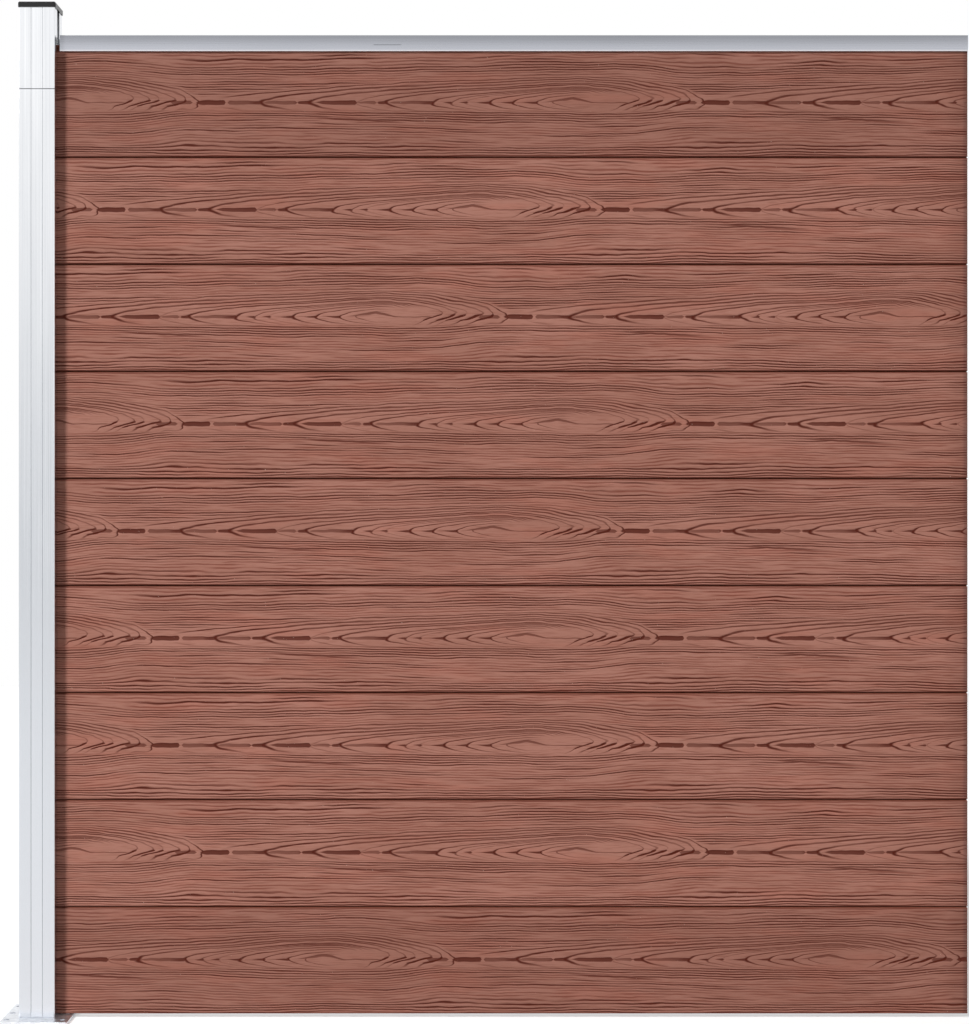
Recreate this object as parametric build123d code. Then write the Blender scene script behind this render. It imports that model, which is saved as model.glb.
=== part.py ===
from build123d import *
import os

# Composite fence panel: a four-way aluminium post on a base plate, nine hollow tongue-and-groove
# boards stacked in one of its channels, and an aluminium rail over the top board.
# Millimetres. The origin is the centre of the base plate's underside, +X runs along the panel
# away from the post, -Y is the front and +Z is up.

# Base plate and the screws that hold the post on it
plate_width = 124.0
plate_depth = 140.0
plate_thickness = 6.0
plate_corner_radius = 3.0
plate_edge_chamfer = 0.8
anchor_hole_diameter = 10.5
anchor_side_margin = 11.0
anchor_end_margin = 20.0
anchor_holes_per_row = 3
base_screw_diameter = 5.0
base_screw_length = 32.0
base_screw_head_diameter = 10.0
base_screw_clearance = 0.1

# Boards
board_count = 9
board_length = 1690.0
board_thickness = 20.0
board_face_height = 194.2
board_reveal = 2.5
board_edge_chamfer = 1.0
board_skin = 4.2
board_web = 4.0
chamber_count = 7
chamber_corner_radius = 2.5
tongue_thickness = 7.0
tongue_side_clearance = 0.4
tongue_lead_chamfer = 1.0
groove_depth = 10.0
board_end_gap = 1.5

# Pad that carries the lowest board
rest_thickness = 1.5
rest_length = 24.0
rest_width = 18.0

# Post
post_side = 66.0
post_corner_radius = 2.5
post_wall = 1.8
channel_clearance = 0.5
channel_floor = 2.2
channel_mouth_radius = 0.8
post_above_rail = 52.8
post_upper_length = 155.0
post_end_chamfer = 0.7
port_diameter = 9.0
port_sink = 0.8

# Joiner inside the two post lengths and its screws
joiner_length = 160.0
joiner_wall = 2.0
joiner_clearance = 0.15
joiner_corner_radius = 1.0
joiner_screw_offset = 45.0
joiner_screw_diameter = 4.0
joiner_screw_length = 8.0
joiner_screw_head_diameter = 7.6
joiner_screw_head_height = 2.6
joiner_screw_head_radius = 1.0
joiner_screw_clearance = 0.1

# Cross recess in the screw heads
recess_width = 1.2
recess_length = 4.0
recess_depth = 1.4

# Cover strips in the front and rear channels
cover_wall = 1.4
cover_clearance = 0.15
cover_recess = 0.2
cover_edge_radius = 1.0

# Cap
cap_top = 4.0
cap_skirt = 6.0
cap_wall = 1.4
cap_clearance = 0.2
cap_edge_chamfer = 1.6
cap_leg_length = 14.0
cap_leg_arm = 12.0
cap_leg_wall = 1.6
cap_leg_clearance = 0.15

# Top rail
rail_height = 29.5
rail_wall = 1.8
rail_lip_width = 1.8
rail_lip_height = 3.0
rail_grip_clearance = 0.4
rail_overlap = 1.6
rail_corner_radius = 1.4
rail_end_gap = 5.2

# Section of the post, from the board that its channels take
channel_width = board_thickness + 2 * channel_clearance
corner_tube_side = (post_side - channel_width) / 2
channel_depth = corner_tube_side - channel_floor
channel_floor_place = post_side / 2 - channel_depth
corner_cavity_side = corner_tube_side - 2 * post_wall
corner_tube_centre = (post_side - corner_tube_side) / 2
port_bore = base_screw_diameter + 2 * base_screw_clearance
port_place = channel_width / 2 + post_wall + port_diameter / 2 - port_sink

# Heights and ends, from the plate upwards and from the channel outwards
board_pitch = board_face_height + board_reveal
tongue_height = groove_depth + board_reveal
boards_bottom = plate_thickness + rest_thickness
boards_top = boards_bottom + board_count * board_pitch - board_reveal
board_left_end = channel_floor_place + board_end_gap
board_right_end = board_left_end + board_length
rail_bottom = boards_top - rail_overlap
rail_left_end = post_side / 2 + rail_end_gap
post_top = rail_bottom + rail_height + post_above_rail
post_seam = post_top - post_upper_length

from_bottom = (Align.CENTER, Align.MIN)
standing = (Align.CENTER, Align.CENTER, Align.MIN)
hanging = (Align.CENTER, Align.CENTER, Align.MAX)
corner_signs = [(sx, sy) for sx in (-1, 1) for sy in (-1, 1)]


def post_outline_block(bottom, top):
    """Plain bar with the post's outer form and deburred ends, which trims what ends with the post."""
    bar = extrude(RectangleRounded(post_side, post_side, post_corner_radius), top - bottom)
    ends = bar.edges().group_by(Axis.Z)
    return Pos(0, 0, bottom) * chamfer(ends[0] + ends[-1], post_end_chamfer)


def post_section():
    """Four corner tubes around a square core, with a channel in each face and a screw port in each tube."""
    section = RectangleRounded(post_side, post_side, post_corner_radius)
    channel = Pos(0, post_side / 2) * Rectangle(channel_width, 2 * channel_depth)
    for quarter in range(4):
        section -= Rot(0, 0, 90 * quarter) * channel
    section -= Rectangle(channel_width, channel_width)
    mouth_corners = [
        v for v in section.vertices()
        if abs(max(abs(v.X), abs(v.Y)) - post_side / 2) < channel_clearance
        and abs(min(abs(v.X), abs(v.Y)) - channel_width / 2) < channel_clearance
    ]
    section = fillet(mouth_corners, channel_mouth_radius)
    for sx, sy in corner_signs:
        section -= Pos(sx * corner_tube_centre, sy * corner_tube_centre) * Rectangle(
            corner_cavity_side, corner_cavity_side
        )
        section += Pos(sx * port_place, sy * port_place) * Circle(port_diameter / 2)
        section -= Pos(sx * port_place, sy * port_place) * Circle(port_bore / 2)
    return section


def joiner_screw_places():
    """Heights of the joiner's screws: one in each post length, at the front and at the rear."""
    return [post_seam - joiner_screw_offset, post_seam + joiner_screw_offset]


def joiner_screw_holes():
    """Drills from the front channel floor to the rear one, through the joiner."""
    radius = joiner_screw_diameter / 2 + joiner_screw_clearance
    drill = Rot(90, 0, 0) * Cylinder(radius, 2 * (channel_floor_place + channel_floor))
    return [Pos(0, 0, height) * drill for height in joiner_screw_places()]


def post_length(bottom, top):
    bar = Pos(0, 0, bottom) * extrude(post_section(), top - bottom)
    return (bar & post_outline_block(bottom, top)) - joiner_screw_holes()


def joiner():
    side = channel_width - 2 * joiner_clearance
    inside = side - 2 * joiner_wall
    section = RectangleRounded(side, side, joiner_corner_radius) - Rectangle(inside, inside)
    tube = Pos(0, 0, post_seam - joiner_length / 2) * extrude(section, joiner_length)
    return tube - joiner_screw_holes()


def cross_recess(face_height):
    """Cross cut into a screw head whose face looks up at the given height."""
    arm = Box(recess_length, recess_width, recess_depth, align=hanging)
    return Pos(0, 0, face_height) * (arm + Rot(0, 0, 90) * arm)


def pan_screw():
    """Pan-head screw, its head standing on Z = 0 and its shank pointing down."""
    head = Cylinder(joiner_screw_head_diameter / 2, joiner_screw_head_height, align=standing)
    head = fillet(head.edges().group_by(Axis.Z)[-1], joiner_screw_head_radius)
    shank = Cylinder(joiner_screw_diameter / 2, joiner_screw_length, align=hanging)
    return head + shank - cross_recess(joiner_screw_head_height)


def joiner_screws():
    screws = []
    for height in joiner_screw_places():
        for side in (-1, 1):
            seat = Pos(0, side * channel_floor_place, height) * Rot(-90 * side, 0, 0)
            screws.append(seat * pan_screw())
    return Compound([screw.solid() for screw in screws])


def countersink(head_diameter, shank_diameter):
    """Right-angled cone with its wide face at Z = 0, narrowing upwards to the shank."""
    height = (head_diameter - shank_diameter) / 2
    return Cone(head_diameter / 2, shank_diameter / 2, height, align=standing)


def base_screws():
    head = countersink(base_screw_head_diameter, base_screw_diameter)
    shank = Cylinder(base_screw_diameter / 2, base_screw_length, align=standing)
    screw = head + shank - cross_recess(recess_depth)
    places = [Pos(sx * port_place, sy * port_place) for sx, sy in corner_signs]
    return Compound([(place * screw).solid() for place in places])


def base_plate():
    slab = extrude(RectangleRounded(plate_width, plate_depth, plate_corner_radius), plate_thickness)
    plate = chamfer(slab.edges().group_by(Axis.Z)[-1], plate_edge_chamfer)
    anchor_hole = Cylinder(anchor_hole_diameter / 2, plate_thickness, align=standing)
    row_spacing = plate_width - 2 * anchor_side_margin
    hole_pitch = (plate_depth - 2 * anchor_end_margin) / (anchor_holes_per_row - 1)
    for place in GridLocations(row_spacing, hole_pitch, 2, anchor_holes_per_row):
        plate -= place * anchor_hole
    widen = 2 * base_screw_clearance
    screw_hole = countersink(base_screw_head_diameter + widen, port_bore)
    screw_hole += Cylinder(port_bore / 2, plate_thickness, align=standing)
    for sx, sy in corner_signs:
        plate -= Pos(sx * port_place, sy * port_place) * screw_hole
    return plate


def cover_strip(side, bottom, top):
    """Channel-shaped filler, flush in the post's face, with its legs on the channel's floor."""
    width = channel_width - 2 * cover_clearance
    depth = channel_depth - cover_recess
    legs = Pos(0, channel_floor_place) * Rectangle(width, depth, align=from_bottom)
    face_corners = legs.vertices().sort_by(Axis.Y)[-2:]
    strip = fillet(face_corners, cover_edge_radius)
    strip -= Pos(0, channel_floor_place) * Rectangle(
        width - 2 * cover_wall, depth - cover_wall, align=from_bottom
    )
    turn = Rot(0, 0, 90 - 90 * side)
    bar = Pos(0, 0, bottom) * turn * extrude(strip, top - bottom)
    return bar & post_outline_block(bottom, top)


def post_cap():
    """Moulded cap: a lid with a skirt around the post and four angle legs inside the corner tubes."""
    inside = post_side + 2 * cap_clearance
    outside = inside + 2 * cap_wall
    corner = post_corner_radius + cap_clearance
    shell = extrude(RectangleRounded(outside, outside, corner + cap_wall), cap_skirt + cap_top)
    shell = chamfer(shell.edges().group_by(Axis.Z)[-1], cap_edge_chamfer)
    shell -= extrude(RectangleRounded(inside, inside, corner), cap_skirt)
    cap = Pos(0, 0, post_top - cap_skirt) * shell
    leg_corner = post_side / 2 - post_wall - cap_leg_clearance
    leg_section = Rectangle(cap_leg_arm, cap_leg_arm, align=(Align.MAX, Align.MAX))
    leg_section -= Pos(-cap_leg_wall, -cap_leg_wall) * Rectangle(
        cap_leg_arm, cap_leg_arm, align=(Align.MAX, Align.MAX)
    )
    leg = Pos(leg_corner, leg_corner, post_top - cap_leg_length) * extrude(leg_section, cap_leg_length)
    for quarter in range(4):
        cap += Rot(0, 0, 90 * quarter) * leg
    return cap


def board_section():
    """Hollow section: tongue on top, groove below, a row of chambers between."""
    body = Rectangle(board_thickness, board_face_height, align=from_bottom)
    body = chamfer(body.vertices(), board_edge_chamfer)
    tongue = Rectangle(tongue_thickness, tongue_height, align=from_bottom)
    tongue = chamfer(tongue.vertices().sort_by(Axis.Y)[-2:], tongue_lead_chamfer)
    body += Pos(0, board_face_height) * tongue
    body -= Rectangle(tongue_thickness + 2 * tongue_side_clearance, groove_depth, align=from_bottom)
    first = groove_depth + board_web
    span = board_face_height - board_web - first
    height = (span - (chamber_count - 1) * board_web) / chamber_count
    chamber = RectangleRounded(
        board_thickness - 2 * board_skin, height, chamber_corner_radius, align=from_bottom
    )
    for number in range(chamber_count):
        body -= Pos(0, first + number * (height + board_web)) * chamber
    return body


def board(number):
    """Board by its number from the top, so that board 1 is under the rail."""
    bottom = boards_bottom + (board_count - number) * board_pitch
    return Pos(board_left_end, 0, bottom) * extrude(Plane.YZ * board_section(), board_length)


def board_rest():
    pad = Box(rest_length, rest_width, rest_thickness, align=(Align.MIN, Align.CENTER, Align.MIN))
    return Pos(board_left_end, 0, plate_thickness) * pad


def top_rail():
    """Closed chamber above a web that sits on the tongue, and two lipped legs over the board's faces."""
    mouth = board_thickness + 2 * rail_grip_clearance
    inside = mouth + 2 * rail_lip_width
    outside = inside + 2 * rail_wall
    seat = rail_overlap + tongue_height
    section = fillet(Rectangle(outside, rail_height, align=from_bottom).vertices(), rail_corner_radius)
    section -= Rectangle(mouth, rail_lip_height, align=from_bottom)
    section -= Pos(0, rail_lip_height) * Rectangle(inside, seat - rail_lip_height, align=from_bottom)
    chamber_bottom = seat + rail_wall
    section -= Pos(0, chamber_bottom) * Rectangle(
        inside, rail_height - rail_wall - chamber_bottom, align=from_bottom
    )
    bar = extrude(Plane.YZ * section, board_right_end - rail_left_end)
    return Pos(rail_left_end, 0, rail_bottom) * bar


pieces = {
    "base_plate": base_plate(),
    "base_screws": base_screws(),
    "post_lower": post_length(plate_thickness, post_seam),
    "post_upper": post_length(post_seam, post_top),
    "post_joiner": joiner(),
    "joiner_screws": joiner_screws(),
    "front_cover_lower": cover_strip(-1, plate_thickness, post_seam),
    "front_cover_upper": cover_strip(-1, post_seam, post_top),
    "rear_cover_lower": cover_strip(1, plate_thickness, post_seam),
    "rear_cover_upper": cover_strip(1, post_seam, post_top),
    "post_cap": post_cap(),
    "board_rest": board_rest(),
    "top_rail": top_rail(),
}
for board_number in range(1, board_count + 1):
    pieces[f"board_{board_number}"] = board(board_number)

os.makedirs("parts", exist_ok=True)
for name, piece in pieces.items():
    export_step(piece, f"parts/{name}.step")
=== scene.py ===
import math

import bmesh
import bpy
from mathutils import Matrix, Vector


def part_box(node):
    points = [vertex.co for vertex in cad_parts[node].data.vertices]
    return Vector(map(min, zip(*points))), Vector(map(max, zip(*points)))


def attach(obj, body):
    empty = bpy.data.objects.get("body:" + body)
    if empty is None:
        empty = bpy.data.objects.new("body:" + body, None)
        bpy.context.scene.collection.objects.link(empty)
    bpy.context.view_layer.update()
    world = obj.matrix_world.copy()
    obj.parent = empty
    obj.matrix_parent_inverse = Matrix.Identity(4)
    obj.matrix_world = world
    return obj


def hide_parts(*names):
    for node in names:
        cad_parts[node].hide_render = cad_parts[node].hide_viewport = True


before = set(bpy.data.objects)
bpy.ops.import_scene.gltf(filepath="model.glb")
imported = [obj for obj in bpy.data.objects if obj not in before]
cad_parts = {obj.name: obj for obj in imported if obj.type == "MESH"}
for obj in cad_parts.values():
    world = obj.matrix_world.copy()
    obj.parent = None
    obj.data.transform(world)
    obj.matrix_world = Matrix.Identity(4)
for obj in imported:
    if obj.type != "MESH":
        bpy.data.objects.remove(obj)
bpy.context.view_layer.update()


# Base plate: flat steel, cut to size, its corners rounded and six anchor holes drilled through it,
# then dipped in zinc. The zinc freezes in pale patches and dulls where the plate is handled.
class Finish:
    """A value or colour over a surface: one socket of a node tree, with sums on it as expressions."""

    def __init__(self, tree, socket=None):
        self.tree = tree
        self.socket = socket

    def node(self, kind, settings, sockets, out=0):
        """Adds a node, makes its settings, then gives its sockets their values or links."""
        added = self.tree.nodes.new(kind)
        for name, value in settings.items():
            if name == "points":
                points = added.mapping.curves[0].points
                while len(points) < len(value):
                    points.new(1.0, 1.0)
                for point, place in zip(points, value):
                    point.location = place
                    point.handle_type = "VECTOR"
                added.mapping.update()
            else:
                setattr(added, name, value)
        for name, value in sockets.items():
            if isinstance(value, Finish):
                self.tree.links.new(value.socket, added.inputs[name])
            else:
                added.inputs[name].default_value = value
        if isinstance(out, tuple):
            return [Finish(self.tree, added.outputs[each]) for each in out]
        return Finish(self.tree, added.outputs[out]) if added.outputs else None

    def maths(self, operation, *values):
        """Adds a Math node on the values in their order."""
        return self.node("ShaderNodeMath", {"operation": operation}, dict(enumerate(values)))

    def __add__(self, other):
        return self.maths("ADD", self, other)

    def __radd__(self, other):
        return self.maths("ADD", other, self)

    def __sub__(self, other):
        return self.maths("SUBTRACT", self, other)

    def __rsub__(self, other):
        return self.maths("SUBTRACT", other, self)

    def __mul__(self, other):
        return self.maths("MULTIPLY", self, other)

    def __rmul__(self, other):
        return self.maths("MULTIPLY", other, self)

    def __truediv__(self, other):
        return self.maths("DIVIDE", self, other)

    def __rtruediv__(self, other):
        return self.maths("DIVIDE", other, self)

    def __abs__(self):
        return self.maths("ABSOLUTE", self)

    def __lt__(self, other):
        return self.maths("LESS_THAN", self, other)

    def __gt__(self, other):
        return self.maths("GREATER_THAN", self, other)


def smooth(value, low, high):
    """0 at low and 1 at high, with an eased step between; low may be the larger."""
    return value.node("ShaderNodeMapRange", {"interpolation_type": "SMOOTHSTEP"},
                      {"Value": value, "From Min": low, "From Max": high})


def cloud(x, y, z=0.0, detail=0.0):
    """Soft random patches about one unit apart, near 0.5."""
    place = x.node("ShaderNodeCombineXYZ", {}, {0: x, 1: y, 2: z})
    return x.node("ShaderNodeTexNoise", {}, {"Vector": place, "Scale": 1.0, "Detail": detail})


def patches(x, y, z, size, detail):
    """Soft random patches about size mm apart, the same every way."""
    return cloud(x / size, y / size, z / size, detail)


def blend(amount, first, second):
    """From the first colour to the second."""
    return amount.node("ShaderNodeMix", {"data_type": "RGBA"}, {0: amount, 6: first, 7: second}, out=2)


def paint(red, green, blue):
    """A colour by its screen values from 0 to 255."""
    def plain(level):
        level /= 255.0
        return level / 12.92 if level <= 0.04045 else ((level + 0.055) / 1.055) ** 2.4
    return plain(red), plain(green), plain(blue), 1.0


def new_finish(name, **constants):
    """A material with its constant sockets set, the place on its surface in mm, and its shader."""
    material = bpy.data.materials.new(name)
    material.use_nodes = True
    shader = material.node_tree.nodes["Principled BSDF"]
    for socket, value in constants.items():
        shader.inputs[socket.replace("_", " ")].default_value = value
    place = Finish(material.node_tree).node("ShaderNodeTexCoord", {}, {}, out="Object")
    x, y, z = place.node("ShaderNodeSeparateXYZ", {}, {0: place}, out=(0, 1, 2))
    return material, x * 1000.0, y * 1000.0, z * 1000.0, shader


def lay_on(shader, **fields):
    """Links fields to the shader's sockets."""
    for name, field in fields.items():
        field.tree.links.new(field.socket, shader.inputs[name.replace("_", " ")])


def relief(height, depth):
    """A surface normal from a height of 0 to 1 that stands depth mm tall."""
    return height.node("ShaderNodeBump", {}, {"Strength": 1.0, "Distance": depth / 1000.0, "Height": height})


def dress(material, *nodes):
    """Gives solids of the frame their finish."""
    for name in nodes:
        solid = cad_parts[name]
        if not solid.material_slots:
            solid.data.materials.append(material)
        for place in solid.material_slots:
            place.material = material


SPANGLE_SIZE = 6.0
zinc, x, y, z, shader = new_finish("zinc_dipped_steel", Metallic=1.0)
crystal = x.node("ShaderNodeCombineXYZ", {}, {0: x / SPANGLE_SIZE, 1: y / SPANGLE_SIZE, 2: z / SPANGLE_SIZE})
spangle = x.node("ShaderNodeTexVoronoi", {"feature": "F1"}, {"Vector": crystal, "Scale": 1.0}, out="Color")
spangle = x.node("ShaderNodeSeparateColor", {}, {0: spangle})
dull = patches(x, y, z, size=28.0, detail=4.0)
speck = patches(x, y, z, size=0.7, detail=2.0)
lay_on(shader,
       Base_Color=blend(spangle * 0.45 + dull * 0.6, paint(198, 201, 207), paint(240, 242, 246)),
       Roughness=0.26 + dull * 0.16 + spangle * 0.06,
       Normal=relief(speck + dull * 2.0, depth=0.05))
dress(zinc, "base_plate")


# Base screws: four countersunk steel screws, zinc plated, driven up through the plate from below
# into the screw ports of the post. Only their heads show, flush with the plate's underside.
plating, x, y, z, shader = new_finish("zinc_plated_screws", Metallic=1.0)
tone = patches(x, y, z, size=1.6, detail=3.0)
turned = cloud(x * 0.4, y * 0.4, z * 9.0, detail=1.0)
lay_on(shader,
       Base_Color=blend(tone, paint(168, 170, 172), paint(214, 214, 210)),
       Roughness=0.24 + tone * 0.22,
       Normal=relief(turned, depth=0.03))
dress(plating, "base_screws")


# Lower post: one length of pressed aluminium tube with a board channel in each of its four faces,
# sawn square, brushed along its length and clear anodised. It stands on the plate.
JOINT_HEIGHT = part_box("post_upper")[0].z * 1000.0

# In mm: how far the saw's mark reaches from the butt joint, and the heights over which painted reflection
# turns the aluminium paler upwards and darker downwards.
SAW_MARK = (1.2, 0.5)
PAINTED_LIGHT_UPWARDS = (800.0, 1800.0)
PAINTED_SHADE_DOWNWARDS = (1100.0, 500.0)


def drawn_aluminium(name, shadow_tone, light_tone):
    """Bare anodised extrusion: die lines along its length, soft tone drift, and painted reflection: paler
    towards its top, darker low down.
    """
    material, x, y, z, shader = new_finish(name, Metallic=1.0)
    die_lines = cloud(x / 0.9, y / 0.9, z / 420.0, detail=3.0)
    drift = cloud(x / 40.0, y / 40.0, z / 260.0, detail=2.0)
    # Painted reflection: paler towards the top and darker towards the bottom, by height.
    paler = smooth(z, *PAINTED_LIGHT_UPWARDS) * 0.56 - smooth(z, *PAINTED_SHADE_DOWNWARDS) * 0.22
    sawn_joint = smooth(abs(z - JOINT_HEIGHT), *SAW_MARK)
    tone = blend(die_lines * 0.6 + drift * 0.4 + paler - 0.42, shadow_tone, light_tone)
    lay_on(shader,
           Base_Color=blend(sawn_joint * 0.75, tone, paint(112, 114, 120)),
           Roughness=0.18 + die_lines * 0.10,
           Normal=relief(die_lines + drift * 0.5, depth=0.035))
    return material


post_skin = drawn_aluminium("anodised_post", paint(204, 207, 212), paint(248, 249, 251))
dress(post_skin, "post_lower")


# Joiner: a square aluminium tube inside both post lengths, across their butt joint, held by four
# plated pan-head screws through the floors of the channels. The cover strips hide it.
joiner_skin = drawn_aluminium("mill_finish_joiner", paint(176, 178, 182), paint(210, 211, 213))
dress(joiner_skin, "post_joiner")
dress(plating, "joiner_screws")


# Upper post: a short length of the same aluminium tube, pushed down over the joiner until it meets
# the lower post. Their sawn ends show as one thin dark line around the post.
dress(post_skin, "post_upper")


# Cover strips: thin aluminium channels that snap into the front and rear channels of the post,
# cut with the post at the butt joint, and flush with its faces.
cover_skin = drawn_aluminium("anodised_covers", paint(206, 209, 214), paint(249, 250, 252))
dress(cover_skin, "front_cover_lower", "front_cover_upper", "rear_cover_lower", "rear_cover_upper")


# Board rest: a black pad, moulded in plastic, that is laid in the channel on the plate. It keeps
# the lowest board's end off the metal.
pad_skin, x, y, z, shader = new_finish("moulded_pad")
mould = patches(x, y, z, size=0.5, detail=2.0)
tint = patches(x, y, z, size=7.0, detail=2.0)
lay_on(shader,
       Base_Color=blend(tint, paint(30, 30, 31), paint(46, 46, 47)),
       Roughness=0.5 + mould * 0.2,
       Normal=relief(mould, depth=0.06))
dress(pad_skin, "board_rest")


# Boards: nine hollow boards of wood fibre and plastic, extruded, brushed and run under a heated
# roller that presses the same grain into each. They stand in the channel, tongue into groove.
board_low, board_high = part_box("board_9")
board_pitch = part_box("board_8")[0].z - board_low.z
POINT_LIMIT = 0.00001
front_limit = board_low.y + POINT_LIMIT
FACE_HEIGHT = 194.2
EDGE_CHAMFER = 1.0

# The print of the roller, in mm: one turn of it, the height of its axis on a board, how deep it
# presses, and where along each board a turn begins.
PRINT_LENGTH = 926.4
PRINT_AXIS = 98.9
GROOVE_DEPTH = 1.4
PRINT_STARTS = {1: 298.5, 2: 114.9, 3: -63.2, 4: 271.0, 5: 151.6, 6: 214.1, 7: 214.1, 8: 305.9, 9: 768.6}


def curve(value, points, top=1.0):
    """A drawn line over 0 to 1, given by its points."""
    drawn = value.node("ShaderNodeFloatCurve", {"points": [(place, level / top) for place, level in points]},
                       {"Value": value})
    return drawn * top


def fine_curve(value, points, top=1.0):
    """The same in two halves, which keeps twice the detail."""
    (before, low), (after, high) = next(pair for pair in zip(points, points[1:])
                                        if pair[0][0] <= 0.5 <= pair[1][0])
    middle = (0.5, low + (high - low) * (0.5 - before) / (after - before))
    earlier = [point for point in points if point[0] < 0.5] + [middle]
    later = [middle] + [point for point in points if point[0] > 0.5]
    past_middle = value > 0.5
    first = curve(value * 2.0, [(place * 2, level) for place, level in earlier], top)
    second = curve(value * 2.0 - 1.0, [(place * 2 - 1, level) for place, level in later], top)
    return first * (1.0 - past_middle) + second * past_middle


def wander(along, above, length, height, shift, reach):
    """Random drift over a span of reach mm, in patches of that length and height, drawn by its shift."""
    return (cloud(along / length + shift[0], above / height + shift[1]) - 0.5) * reach


def wrap(along):
    """The part of one turn of the roller, 0 to 1."""
    return along.maths("FRACT", along / PRINT_LENGTH)


# How far from the axis the lines begin to sway and to quiver, in mm.
SWAY_BEGINS = (2.0, 30.0)
QUIVER_BEGINS = (8.0, 19.0)


def sway(along, above):
    """How far the grain lines wander up and down, in mm; still at the axis."""
    slow = wander(along, above, length=150.0, height=60.0, shift=(3.0, 9.0), reach=8.0)
    quick = wander(along, above, length=52.0, height=22.0, shift=(40.0, 2.0), reach=2.6)
    return (slow + quick) * smooth(abs(above), *SWAY_BEGINS)


def quiver(along, above):
    """The small trembling of the lines away from the axis, in mm."""
    tremble = wander(along, above, length=24.0, height=8.0, shift=(70.0, 5.0), reach=1.5)
    return tremble * smooth(abs(above), *QUIVER_BEGINS)


# The arch of the lines over the eye: its rise in mm, the heights between which it flattens out, and
# its fall by part of a turn.
ARCH_RISE = 11.0
ARCH_ENDS = (95.0, 60.0)
ARCH = [(0, 1), (0.1, 0.95), (0.2, 0.85), (0.4, 0.6), (0.55, 0.32), (0.65, 0.12), (0.753, 0), (0.82, 0.03),
        (0.86, 0.14), (0.9, 0.42), (0.94, 0.82), (0.97, 0.98), (1, 1)]


def arch(turn, above):
    """How much lower the lines run than over the eye of the grain, in mm."""
    return curve(turn, ARCH) * smooth(abs(above), *ARCH_ENDS) * ARCH_RISE


# The eye of the grain: its part of a turn, the square of the height in mm at which a ring passes over
# it that meets the axis where a turn begins, and the share of that square by part of a turn. Right of
# the eye the rings slant: where, over what height, and by how far.
EYE_PLACE = 0.753
EYE_SPREAD = 2450.0
SPREAD = [(0, 1), (0.7, 0.07), (0.74, 0.03), (0.765, 0.035), (0.8, 0.19), (1, 1)]
SPREAD_ENDS = (85.0, 25.0)
SLANT_BEGINS = (0.76, 0.85)
SLANT_ENDS = (0.985, 0.95)
SLANT_HEIGHT = 9.0
SLANT_LEAN = 42.0


def ring_height(along, above, height, slanting):
    """How high over the eye of the grain the ring through a place passes, in mm."""
    torn = along + wander(along, above, length=26.0, height=9.0, shift=(4.0, 0.0), reach=14.0)
    lean = (smooth(above, -SLANT_HEIGHT, SLANT_HEIGHT) - 0.5) * slanting * SLANT_LEAN
    spread = curve(wrap(torn - lean), SPREAD) * EYE_SPREAD * smooth(above, *SPREAD_ENDS)
    return along.maths("SQRT", height * height + spread)


# The long lines: their step, soft edges and shoulders in mm, where they begin outside the rings and
# under the axis, how hard they are pressed, and in which bundles they lie by their level.
LINE_STEP = 4.4
LINE_EDGE = 1.0
SHOULDER_WIDTH = 2.2
FAINT_WIDTH = (1.5, 0.2)
OUTSIDE_RINGS = (49.5, 52.0)
BELOW_AXIS = (12.0, 19.0)
PRESSED_FORCE = (0.38, 0.7)
FAINT_FORCE = (0.28, 0.52)
BANDS_REACH = 100.0
UPPER_BANDS = [(0, 0), (0.22, 0), (0.26, 0.6), (0.44, 0.6), (0.47, 0.2), (0.57, 0.2), (0.61, 0.62),
               (0.73, 0.62), (0.77, 0.22), (0.86, 0.22), (0.9, 0), (1, 0)]
LOWER_BANDS = [(0, 0), (0.16, 0), (0.2, 0.58), (0.36, 0.58), (0.4, 0.1), (0.52, 0.1), (0.55, 0.3),
               (0.62, 0.3), (0.66, 0.08), (0.78, 0.1), (0.82, 0.62), (0.97, 0.7), (1, 0.4)]


def line_bundles(along, above, height, upper, over_eye):
    """The long lines away from the axis, in bundles: their force, the lines, their shoulders, faint lines."""
    lower = 1.0 - upper
    level = abs(height) + arch(wrap(along), above)
    off_axis = smooth(over_eye, *OUTSIDE_RINGS) * upper + smooth(abs(above), *BELOW_AXIS) * lower
    steps = level / LINE_STEP
    number = along.maths("ROUND", steps)
    off_line = abs(steps - number) * LINE_STEP
    force = cloud(number * 7.31 + upper * 50.0 + 3.7, along / 170.0 + number * 3.1)
    force = along.node("ShaderNodeClamp", {}, {0: (force - 0.5) * 1.8 + 0.5})
    band = (curve(level / BANDS_REACH, UPPER_BANDS) * upper
            + curve(level / BANDS_REACH, LOWER_BANDS) * lower)
    pressed = smooth(force * 0.6 + band * 0.66, *PRESSED_FORCE) * off_axis
    width = force * pressed * 0.4 + 0.1
    line = smooth(off_line, width + LINE_EDGE, width) * pressed
    shoulder = smooth(off_line, SHOULDER_WIDTH, 0.0) * pressed
    light_force = cloud(number * 5.17 + upper * 31.0, along / 90.0 + number * 2.3)
    faint = smooth(off_line, *FAINT_WIDTH) * smooth(light_force, *FAINT_FORCE) * off_axis * (1.0 - pressed)
    return force, line, shoulder, faint


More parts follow.
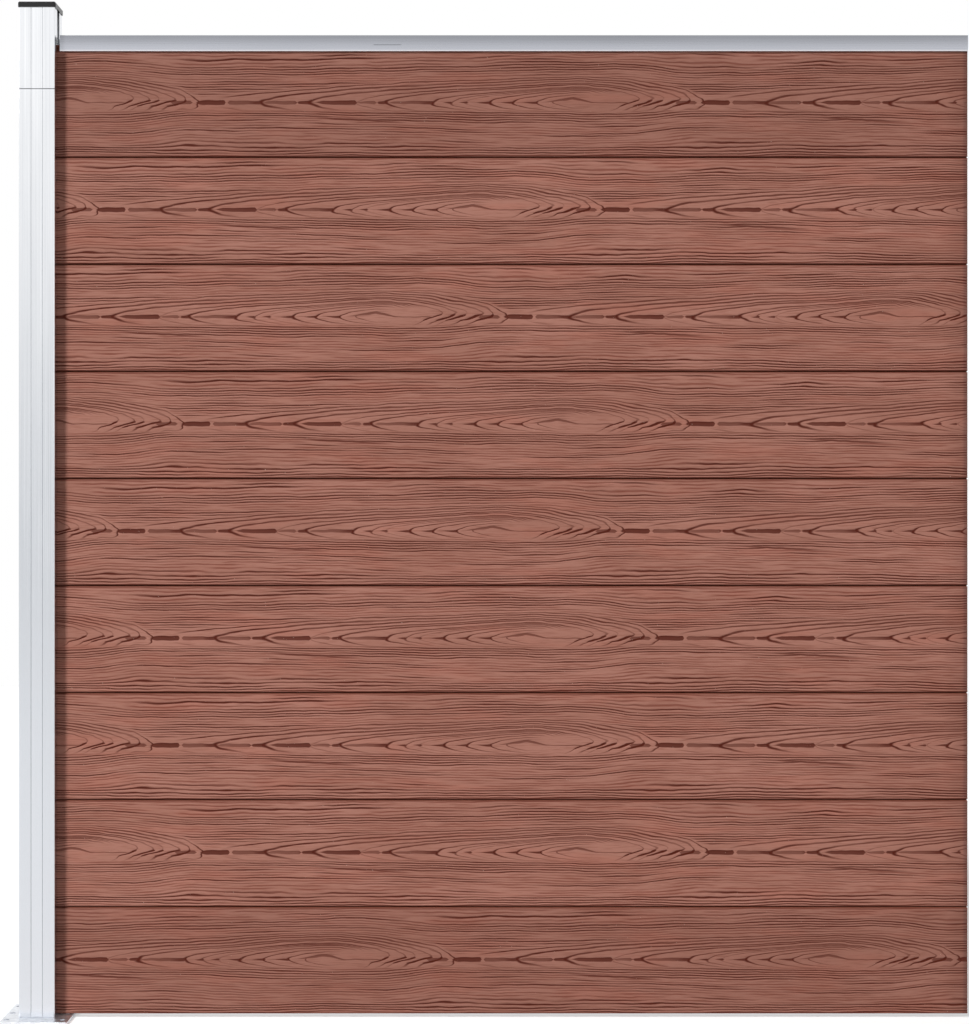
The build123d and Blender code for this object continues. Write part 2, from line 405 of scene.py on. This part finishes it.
# The rings about the eye: where each forks on the axis, by part of a turn, with its darkness, and how
# wide they are. Then the heights at which they get slim, bold, dark or pale, in mm over the axis, and
# the parts of a turn where they are left out.
FORK_TIPS = [(0.015, 1), (0.119, 1), (0.214, 1), (0.307, 0.8), (0.365, 1), (0.458, 1), (0.4935, 0.9),
             (0.525, 0.8), (0.569, 1), (0.6165, 1), (0.664, 1), (0.697, 0.9)]
RING_REACH = 50.0
RING_WIDTH = 1.15
RING_SHARE = 0.48
SLIM_NEAR_AXIS = (30.0, 3.0)
BOLD_STROKES = (7.0, 4.0)
BOLD_STROKES_DROP = 1.0
DARK_FORKS = (14.0, 4.0)
LOWER_TIPS = (-18.0, -7.0)
PALE_FROM = (3.0, 8.0)
PALE_TO = (28.0, 16.0)
BEHIND_EYE = (0.735, 0.775)
BEHIND_EYE_RINGS = (30.4, 29.8)
BEHIND_EYE_HEIGHT = (24.0, 14.0)
AFTER_DASH = (0.03, 0.07)


def ring_lines():
    """A drawn line with a short peak for each ring about the eye, by the ring's height over the eye."""
    rings = [(math.sqrt(EYE_SPREAD * (1.0 - tip / EYE_PLACE)), dark) for tip, dark in reversed(FORK_TIPS)]
    gaps = [after[0] - before[0] for before, after in zip(rings, rings[1:])] + [RING_REACH - rings[-1][0]]
    points = [(0, 0)]
    for (height, dark), gap_under, gap_over in zip(rings, [RING_REACH] + gaps, gaps):
        inner = height - min(RING_WIDTH, gap_under * RING_SHARE)
        outer = height + min(RING_WIDTH, gap_over * RING_SHARE)
        points += [(inner / RING_REACH, 0), (height / RING_REACH, dark), (outer / RING_REACH, 0)]
    return points + [(1, 0)]


def eye_rings(turn, above, upper, slanting, over_eye, force):
    """The rings about the eye: they fork at the axis, are slim there, and fade behind the eye."""
    from_axis = abs(above)
    bold = slanting * smooth(abs(above + BOLD_STROKES_DROP), *BOLD_STROKES)
    slim = smooth(from_axis, *SLIM_NEAR_AXIS) * 0.55 + 0.1 - bold * 0.5
    ring = smooth(fine_curve(over_eye / RING_REACH, ring_lines()), slim, slim + 0.3)
    ring = ring * (upper + smooth(above, *LOWER_TIPS) * (1.0 - upper))
    ring = ring * (0.6 + 0.4 * turn.maths("MAXIMUM", smooth(from_axis, *DARK_FORKS), force))
    behind_eye = (smooth(turn, *BEHIND_EYE) * smooth(over_eye, *BEHIND_EYE_RINGS)
                  * smooth(above, *BEHIND_EYE_HEIGHT))
    paler = slanting * smooth(above, *PALE_FROM) * smooth(above, *PALE_TO) * 0.45
    return ring * (1.0 - behind_eye) * smooth(turn, *AFTER_DASH) * (1.0 - paler)


# The chain of dashes on the axis: its rise over the eye, and by part of a turn half its height in mm
# and its darkness.
EYE_ROOF = [(0, 0), (0.672, 0), (0.7, 0.35), (0.733, 1), (0.75, 0.7), (0.772, 0.05), (0.785, 0), (1, 0)]
EYE_HEIGHT = 8.4
STEM_TALLEST = 4.6
STEM_LEAST = 0.1
STEM_OUTER_EDGE = 0.4
STEM_INNER_EDGE = 0.8
STEM_HEIGHTS = [(0, 4.2), (0.004, 4.5), (0.0445, 4.5), (0.047, 0), (0.051, 0), (0.054, 3.8), (0.09, 3.6),
                (0.104, 3.0), (0.117, 3.4), (0.121, 0), (0.128, 2.6), (0.15, 3.4), (0.185, 3.4), (0.189, 0),
                (0.192, 2.6), (0.213, 3.6), (0.2165, 0), (0.226, 0.4), (0.24, 3.4), (0.304, 4.4), (0.3075, 0),
                (0.316, 2.0), (0.342, 3.2), (0.347, 0), (0.35, 2.4), (0.366, 3.4), (0.3695, 0), (0.378, 2.0),
                (0.42, 3.2), (0.445, 3.2), (0.458, 3.2), (0.461, 0), (0.476, 0), (0.494, 2.4), (0.497, 0),
                (0.508, 0), (0.525, 2.2), (0.528, 0), (0.545, 0.5), (0.569, 2.6), (0.572, 0), (0.592, 0.4),
                (0.616, 2.4), (0.619, 0), (0.636, 0.5), (0.664, 2.6), (0.667, 0), (0.678, 0.3), (0.72, 2.6),
                (0.75, 2.2), (0.78, 0.8), (0.84, 1.0), (0.85, 0), (0.938, 0), (0.943, 3.4), (0.977, 3.4),
                (0.982, 0), (0.988, 0), (0.993, 3.0), (1, 4.2)]
STEM_DARKNESS = [(0, 1), (0.047, 1), (0.052, 0.7), (0.092, 0.75), (0.104, 1), (0.121, 1), (0.125, 0.62),
                 (0.182, 0.72), (0.19, 1), (0.218, 1), (0.228, 0.9), (0.31, 1), (0.315, 0.6), (0.345, 0.7),
                 (0.352, 1), (0.368, 1), (0.375, 0.6), (0.43, 0.75), (0.45, 1), (0.66, 1), (0.68, 0.7),
                 (0.8, 0.8), (0.94, 0.75), (0.98, 0.8), (0.99, 1), (1, 1)]


def stems(turn, above, ragged):
    """The chain of dashes along the axis, which bends up over the eye like a low roof."""
    tall = fine_curve(turn, STEM_HEIGHTS, STEM_TALLEST)
    over_axis = above + ragged - curve(turn, EYE_ROOF) * EYE_HEIGHT
    stem = smooth(abs(over_axis), tall + STEM_OUTER_EDGE, tall - STEM_INNER_EDGE) * (tall > STEM_LEAST)
    # Painted shade: each dash is darker, and pressed deeper, towards its upper edge, as the shaded upper wall
    # of a groove.
    return stem * curve(turn, STEM_DARKNESS) * (0.9 + smooth(over_axis, 0.0, tall) * 0.1)


# One long groove: the parts of a turn where it begins and ends, then in mm its drop under the axis at
# its place, its fall over a turn and its half width.
LONG_GROOVE_BEGINS = (0.2, 0.27)
LONG_GROOVE_ENDS = (0.42, 0.34)
LONG_GROOVE_DROP = 31.6
LONG_GROOVE_PLACE = 0.31
LONG_GROOVE_FALL = 48.0
LONG_GROOVE_WIDTH = (2.7, 0.7)
LONG_GROOVE_DARKNESS = 0.8


def long_groove(turn, above, ragged):
    """One long groove under the axis, which falls a little towards the right."""
    off_groove = above + LONG_GROOVE_DROP + (turn - LONG_GROOVE_PLACE) * LONG_GROOVE_FALL + ragged
    groove = (smooth(turn, *LONG_GROOVE_BEGINS) * smooth(turn, *LONG_GROOVE_ENDS)
              * smooth(abs(off_groove), *LONG_GROOVE_WIDTH))
    return groove * LONG_GROOVE_DARKNESS


def grain(along, above):
    """The print at a place along the roller and above its axis, in mm: marks, shoulders, faint lines."""
    turn = wrap(along)
    height = above + sway(along, above) + quiver(along, above)
    upper = height > 0.0
    slanting = smooth(turn, *SLANT_BEGINS) * smooth(turn, *SLANT_ENDS)
    ragged = wander(along, along, length=18.0, height=90.0, shift=(0.0, 0.0), reach=2.0)
    over_eye = ring_height(along, above, height, slanting)
    force, marks, shoulder, faint = line_bundles(along, above, height, upper, over_eye)
    for mark in (eye_rings(turn, above, upper, slanting, over_eye, force),
                 stems(turn, above, ragged), long_groove(turn, above, ragged)):
        marks = along.maths("MAXIMUM", marks, mark)
    return marks, shoulder, faint


# How far the print and the flow of the points stay from a face's edges, and where over the axis the
# points begin to flow, in mm.
PRINT_MARGIN = 2.5
FLOW_MARGIN = 30.0
FLOW_BEGINS = (16.0, 40.0)
SMOOTH_ANGLE = math.radians(40.0)


def press_grain(board, start, bottom):
    """Presses the print into the front of a board and notes each point's place on the print.

    The rows of points first move with the lines, so that a groove runs along a row."""
    tree = bpy.data.node_groups.new("pressing_" + board.name, "GeometryNodeTree")
    tree.interface.new_socket("Body", in_out="INPUT", socket_type="NodeSocketGeometry")
    tree.interface.new_socket("Body", in_out="OUTPUT", socket_type="NodeSocketGeometry")
    body = Finish(tree).node("NodeGroupInput", {}, {})
    place = body.node("GeometryNodeInputPosition", {}, {})
    x, y, z = place.node("ShaderNodeSeparateXYZ", {}, {0: place}, out=(0, 1, 2))
    along = x * 1000.0 - start
    above = z * 1000.0 - (bottom + PRINT_AXIS)
    lowest = EDGE_CHAMFER - PRINT_AXIS
    highest = FACE_HEIGHT - EDGE_CHAMFER - PRINT_AXIS
    on_front = y < front_limit

    def inside(margin):
        """1 on the front face, and less over a margin at its edges."""
        return smooth(above, lowest, lowest + margin) * smooth(above, highest, highest - margin) * on_front

    lift = (arch(wrap(along), above) - 0.5 * ARCH_RISE) * ((above > 0.0) * 2.0 - 1.0)
    rows = sway(along, above) + lift * smooth(abs(above), *FLOW_BEGINS)
    flow = place.node("ShaderNodeCombineXYZ", {}, {2: rows * inside(FLOW_MARGIN) * -0.001})
    flowing = place.node("GeometryNodeSetPosition", {}, {"Geometry": body, "Offset": flow})
    spot = place.node("ShaderNodeCombineXYZ", {}, {0: along, 1: y * 1000.0, 2: above})
    noted = place.node("GeometryNodeStoreNamedAttribute", {"data_type": "FLOAT_VECTOR", "domain": "POINT"},
                       {"Geometry": flowing, "Name": "grain", "Value": spot})
    marks, shoulder, faint = grain(along, above)
    depth = (marks * 0.58 + shoulder * 0.32 + faint * 0.1) * inside(PRINT_MARGIN)
    inwards = place.node("ShaderNodeCombineXYZ", {}, {1: depth * (GROOVE_DEPTH / 1000.0)})
    grooved = place.node("GeometryNodeSetPosition", {}, {"Geometry": noted, "Offset": inwards})
    place.node("NodeGroupOutput", {}, {0: grooved})
    pressing = board.modifiers.new("pressing", "NODES")
    pressing.node_group = tree
    bpy.ops.object.select_all(action="DESELECT")
    board.select_set(True)
    bpy.context.view_layer.objects.active = board
    bpy.ops.object.modifier_apply(modifier="pressing")
    bpy.ops.object.shade_smooth_by_angle(angle=SMOOTH_ANGLE)


# The cuts across a face's length and height, each in two rounds, and the finer ones along the rows
# of points that lie near the print's axis, in m.
LENGTH_CUTS = (12, 11)
HEIGHT_CUTS = (14, 13)
AXIS_CUTS = 3
AXIS_ZONE = 0.0135
axis_height = board_low.z + PRINT_AXIS / 1000.0


def pick_edges(board, wanted):
    """Selects only the edges of the board in edit mode for which wanted is true."""
    cut = bmesh.from_edit_mesh(board.data)
    for edge in cut.edges:
        edge.select = wanted(*(corner.co for corner in edge.verts))
    cut.select_flush_mode()
    bmesh.update_edit_mesh(board.data)


def on_face_and_level(a, b):
    return max(a.y, b.y) < front_limit and abs(a.z - b.z) < POINT_LIMIT


def on_face_and_upright(a, b):
    return max(a.y, b.y) < front_limit and abs(a.x - b.x) < POINT_LIMIT


def near_print_axis(a, b):
    return on_face_and_level(a, b) and abs(a.z - axis_height) < AXIS_ZONE


bpy.ops.object.select_all(action="DESELECT")
first_board = bpy.data.objects.new("grained_board_9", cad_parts["board_9"].data.copy())
bpy.context.scene.collection.objects.link(first_board)
first_board.select_set(True)
bpy.context.view_layer.objects.active = first_board
bpy.ops.object.mode_set(mode="EDIT")
bpy.ops.mesh.select_mode(type="EDGE")
bpy.ops.mesh.select_all(action="SELECT")
bpy.ops.mesh.remove_doubles(threshold=POINT_LIMIT)
bpy.ops.mesh.dissolve_limited(angle_limit=math.radians(1.0))
for edges, rounds in ((on_face_and_level, LENGTH_CUTS), (on_face_and_upright, HEIGHT_CUTS)):
    for cuts in rounds:
        pick_edges(first_board, edges)
        bpy.ops.mesh.subdivide(number_cuts=cuts)
pick_edges(first_board, near_print_axis)
bpy.ops.mesh.subdivide(number_cuts=AXIS_CUTS, ngon=True)
bpy.ops.object.mode_set(mode="OBJECT")

# Where the finish changes on the boards, in mm: by the distance from their middle plane, the middle
# of their length, their right ends, the panel's mid-height, a face's edges and the foot of a tongue.
FACE_BEGINS = (8.7, 9.2)
SHADOWED_ENDS = (795.0, 843.0)
RIGHT_END = (11.2, 1.2)
MIDDLE_HEIGHT = 891.0
OUTER_BOARDS = (688.0, 692.0)
EDGE_SHADE = 3.2
TONGUE_BEGINS = (-0.5, -0.1)
BACK_SHIFT = 410.0
middle_length = (board_low.x + board_high.x) * 500.0
right_end = board_high.x * 1000.0

composite, x, y, z, shader = new_finish("brushed_composite", Specular_IOR_Level=0.14)
spot = x.node("ShaderNodeAttribute", {"attribute_name": "grain"}, {}, out="Vector")
along, through, above = spot.node("ShaderNodeSeparateXYZ", {}, {0: spot}, out=(0, 1, 2))
facing = x.node("ShaderNodeNewGeometry", {}, {}, out="True Normal")
sawn_end = abs(x.node("ShaderNodeSeparateXYZ", {}, {0: facing})) > 0.7
on_back = through > 0.0
face = smooth(abs(through), *FACE_BEGINS) * (1.0 - sawn_end)
marks, _, faint = grain(along + on_back * BACK_SHIFT, above)
marks = marks * face
brushed = cloud(x / 30.0, y / 3.0, z / 1.5, detail=2.0)
blotch = cloud(x / 260.0, y / 8.0, z / 60.0, detail=2.0)
ruddy = smooth(cloud(x / 170.0 + 5.0, y / 8.0, z / 30.0 + 8.0, detail=3.0), 0.50, 0.68)
fibre = patches(x, y, z, size=1.4, detail=2.0)
fleck = smooth(cloud(x / 2.6, y / 2.6, z / 1.5), 0.87, 0.90) * (1.0 - sawn_end)
# Painted shadow: the boards darken over the last 50 mm of each end, and their right ends darker again over
# the last 11 mm.
painted_end_shadow = smooth(abs(x - middle_length), *SHADOWED_ENDS)
end_shade = smooth(right_end - x, *RIGHT_END)
outer_board = smooth(abs(z - MIDDLE_HEIGHT), *OUTER_BOARDS)
raised = blend(smooth(blotch, 0.3, 0.7), paint(164, 113, 98), paint(173, 121, 106))
raised = blend(ruddy * 0.35, raised, paint(176, 110, 93))
raised = blend(smooth(brushed, 0.55, 0.25) * 0.44, raised, paint(128, 74, 58))
raised = blend(faint * face * 0.7, raised, paint(108, 46, 32))
raised = blend(painted_end_shadow * 0.24, raised, paint(92, 56, 46))
raised = blend(end_shade * 0.5, raised, paint(74, 52, 54))
raised = blend(outer_board * 0.2, raised, paint(92, 56, 46))
# The print's marks are painted dark: partly the print's own colour, partly painted shade in its grooves.
grooved = blend(marks, raised, paint(82, 30, 18))
# Painted shade along the joints: each face darkens over its last 3 mm at top and bottom.
from_middle = abs(above + PRINT_AXIS - FACE_HEIGHT / 2)
edge = smooth(from_middle, FACE_HEIGHT / 2 - EDGE_SHADE, FACE_HEIGHT / 2 - EDGE_CHAMFER)
grooved = blend(edge * 0.62, grooved, paint(96, 44, 32))
on_tongue = smooth(above + PRINT_AXIS - FACE_HEIGHT, *TONGUE_BEGINS)
grooved = blend(on_tongue, grooved, paint(158, 92, 72))
sawn = blend(smooth(fibre, 0.35, 0.65), paint(104, 68, 56), paint(148, 106, 90))
colour = blend(sawn_end, grooved, sawn)
colour = blend(fleck * 0.5, colour, paint(226, 206, 190))
lay_on(shader,
       Base_Color=colour,
       Roughness=0.56 + brushed * 0.16 + marks * 0.12,
       Normal=relief(brushed * 0.3 + fibre * 0.1, depth=0.8))

first_board.data.materials.clear()
first_board.data.materials.append(composite)
plain_board = first_board.data.copy()
for number in range(9, 0, -1):
    rise = (9 - number) * board_pitch
    board = first_board
    if number < 9:
        board = bpy.data.objects.new(f"grained_board_{number}", plain_board.copy())
        board.data.transform(Matrix.Translation((0.0, 0.0, rise)))
        bpy.context.scene.collection.objects.link(board)
    press_grain(board, PRINT_STARTS[number], (board_low.z + rise) * 1000.0)
    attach(board, "root")
    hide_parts(f"board_{number}")
bpy.data.meshes.remove(plain_board)


# Top rail: one length of pressed aluminium that is pushed down over the top board's tongue, with a
# closed chamber above and two lipped legs that grip the board's faces.
rail_low, rail_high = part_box("top_rail")
rail_foot = rail_low.z * 1000.0
rail_top = rail_high.z * 1000.0
rail_front = rail_low.y * 1000.0

# In mm: how deep its front face reaches, then over its foot the end of its painted reflection, its painted
# highlight along the lower edge and one scratch, and the scratch's ends along the rail.
FRONT_DEPTH = 1.0
REFLECTION_FOOT = 2.3
PAINTED_HIGHLIGHT = (3.8, 1.3)
SCRATCH_HEIGHT = 11.7
SCRATCH_WIDTH = (1.0, 0.4)
SCRATCH_LEFT = (612.0, 615.0)
SCRATCH_RIGHT = (667.0, 662.0)
rail_skin, x, y, z, shader = new_finish("anodised_rail", Metallic=1.0)
die_lines = cloud(x / 380.0, y / 0.5, z / 0.5, detail=3.0)
drift = cloud(x / 240.0, y / 30.0, z / 30.0, detail=2.0)
# Painted reflection: the rail is darker at its top and paler towards its foot.
rail_painted_reflection = smooth(z, rail_top, rail_foot + REFLECTION_FOOT)
on_front = y < rail_front + FRONT_DEPTH
scratch = (smooth(abs(z - (rail_foot + SCRATCH_HEIGHT)), *SCRATCH_WIDTH)
           * smooth(x, *SCRATCH_LEFT) * smooth(x, *SCRATCH_RIGHT) * on_front)
tone = blend(rail_painted_reflection * 0.75 + die_lines * 0.2 + drift * 0.2 - 0.12,
             paint(142, 144, 150), paint(189, 191, 199))
# Painted highlight: a bright band along the rounded lower edge.
tone = blend(smooth(z - rail_foot, *PAINTED_HIGHLIGHT) * 0.8, tone, paint(216, 215, 219))
lay_on(shader,
       Base_Color=blend(scratch * 0.8, tone, paint(92, 94, 98)),
       Roughness=0.20 + die_lines * 0.12 + scratch * 0.2,
       Normal=relief(die_lines + drift * 0.5, depth=0.04))
dress(rail_skin, "top_rail")


# Post cap: a square cap of black plastic, moulded with a bevelled top and four legs that push
# into the post's channels.
cap_skin, x, y, z, shader = new_finish("moulded_cap", Specular_IOR_Level=0.38)
mould = patches(x, y, z, size=0.45, detail=2.0)
tint = patches(x, y, z, size=18.0, detail=2.0)
lay_on(shader,
       Base_Color=blend(tint, paint(6, 6, 7), paint(14, 14, 15)),
       Roughness=0.2 + mould * 0.16,
       Normal=relief(mould, depth=0.03))
dress(cap_skin, "post_cap")


# Studio: a plain pale floor that keeps the panel's shadow, a large soft lamp at the front left, a
# weak one at the front right and one behind at the left, and the camera at the panel's mid-height.
FLOOR_GLOW = 0.45
ROOM_LIGHT = 0.04
BLACK = (0.0, 0.0, 0.0, 1.0)
WHITE = (1.0, 1.0, 1.0, 1.0)


def in_view(tree):
    """1 for rays from the camera, a reflection or a clear body, and 0 for rays that light the panel."""
    camera_ray, glossy_ray, clear_ray = Finish(tree).node(
        "ShaderNodeLightPath", {}, {}, out=("Is Camera Ray", "Is Glossy Ray", "Is Transmission Ray"))
    return camera_ray.maths("MINIMUM", camera_ray + glossy_ray + clear_ray, 1.0)


def soft_lamp(name, place, aim, size, power):
    """A square lamp at a place, turned to its aim; size in m, power in W."""
    bpy.ops.object.select_all(action="DESELECT")
    bpy.ops.object.light_add(type="AREA", location=place)
    lamp = bpy.context.object
    lamp.name = name
    lamp.rotation_euler = (Vector(aim) - Vector(place)).to_track_quat("-Z", "Y").to_euler()
    lamp.data.size = size
    lamp.data.energy = power


bpy.context.scene.view_settings.view_transform = "Standard"
bpy.ops.object.select_all(action="DESELECT")
bpy.ops.mesh.primitive_plane_add(size=14.0, location=(0.85, 0.0, 0.0))
floor = bpy.context.object
floor.name = "floor"
bpy.ops.object.transform_apply(location=True, rotation=True, scale=True)
floor_skin = bpy.data.materials.new("pale_floor")
floor_skin.use_nodes = True
shader = floor_skin.node_tree.nodes["Principled BSDF"]
shader.inputs["Roughness"].default_value = 0.9
shader.inputs["Specular IOR Level"].default_value = 0.0
shader.inputs["Base Color"].default_value = (0.8, 0.8, 0.8, 1.0)
shader.inputs["Emission Strength"].default_value = 1.0
lay_on(shader, Emission_Color=blend(in_view(floor_skin.node_tree) * FLOOR_GLOW, BLACK, WHITE))
floor.data.materials.append(floor_skin)

world = bpy.data.worlds.new("studio")
bpy.context.scene.world = world
world.use_nodes = True
background = world.node_tree.nodes["Background"]
background.inputs["Color"].default_value = WHITE
lay_on(background, Strength=ROOM_LIGHT + in_view(world.node_tree) * (1.0 - ROOM_LIGHT))

soft_lamp("key_lamp", place=(-19.0, -24.6, 27.0), aim=(0.85, 0.0, 0.9), size=7.0, power=16400.0)
soft_lamp("fill_lamp", place=(4.6, -5.2, 1.4), aim=(0.9, 0.0, 0.6), size=2.0, power=12.0)
soft_lamp("back_lamp", place=(-7.5, 5.2, 5.5), aim=(0.9, 0.0, 0.8), size=3.0, power=560.0)

view = bpy.data.cameras.new("photo_view")
camera = bpy.data.objects.new("photo_view", view)
bpy.context.scene.collection.objects.link(camera)
camera.location = (0.8173, -3.733, 0.9284)
camera.rotation_euler = (math.radians(90.0), 0.0, 0.0)
view.lens = 71.28
view.sensor_width = 36.0
bpy.context.scene.camera = camera
